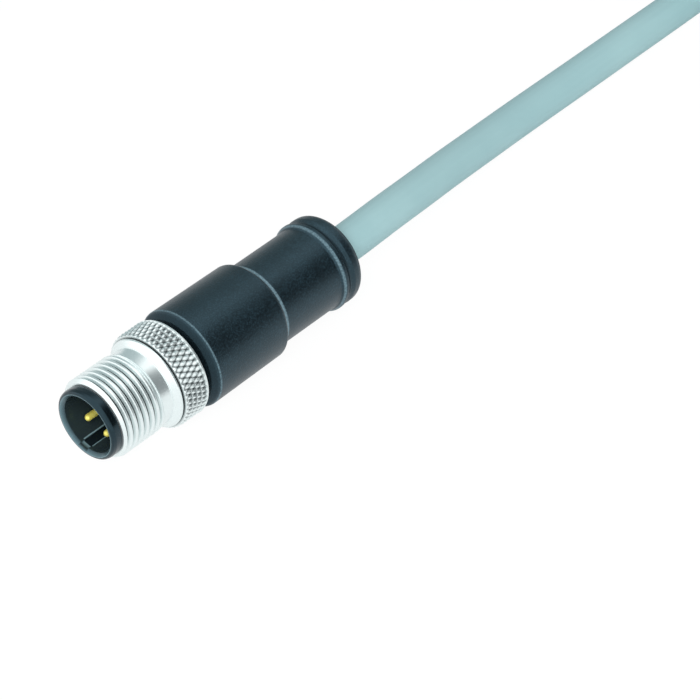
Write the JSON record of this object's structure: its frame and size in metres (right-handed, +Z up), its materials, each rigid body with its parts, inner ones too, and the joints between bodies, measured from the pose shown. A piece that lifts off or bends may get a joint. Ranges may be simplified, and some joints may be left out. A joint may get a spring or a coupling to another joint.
{
  "type": "m12 connector",
  "caption": "Straight M12 male cable connector with a knurled coupling ring, pins in a keyed collar, a stepped moulded grip and a round cable folded into a tied hank.",
  "frame": {"origin": "under the middle of the connector, on the surface that it lies on, midway between the collar's front face and the grip's rear face", "axes": "+X along the connector's axis from its contacts to its cable, +Z up; the connector's axis is 7.4 mm above the surface"},
  "size_m": [0.2367, 0.0534, 0.0301],
  "materials": {
    "carrier_plastic": "satin black moulded plastic",
    "contact_gold": "gold plated",
    "ring_nickel": "bright nickel plate on brass",
    "grip_plastic": "fine-grained satin moulding",
    "mould_plastic": "matt",
    "core_brown": "smooth",
    "core_white": "smooth",
    "core_blue": "smooth",
    "core_black": "smooth",
    "cable_jacket": "satin soft PVC",
    "tie_plastic": "satin",
    "tinned_strands": "tinned copper strands"
  },
  "bodies": {
    "connector": {"contact_carrier": "carrier_plastic", "contact_pin_1": "contact_gold", "contact_pin_2": "contact_gold", "contact_pin_3": "contact_gold", "contact_pin_4": "contact_gold", "grip": "grip_plastic", "inner_mould": "mould_plastic", "brown_core": "core_brown", "white_core": "core_white", "blue_core": "core_blue", "black_core": "core_black", "jacket_end": "cable_jacket", "cable": "cable_jacket", "cable_hank": "cable_jacket", "cable_tail": "cable_jacket", "near_hank_tie": "tie_plastic", "far_hank_tie": "tie_plastic", "brown_core_end": "core_brown", "white_core_end": "core_white", "blue_core_end": "core_blue", "black_core_end": "core_black", "brown_tinned_end": "tinned_strands", "white_tinned_end": "tinned_strands", "blue_tinned_end": "tinned_strands", "black_tinned_end": "tinned_strands"},
    "coupling_ring": {"coupling_ring": "ring_nickel"}
  },
  "joints": [
    {"name": "coupling_ring_turn", "type": "hinge", "parent": "connector", "child": "coupling_ring", "pos_m": [-0.01495, 0, 0.0074], "axis": [1, 0, 0], "continuous": true}
  ]
}
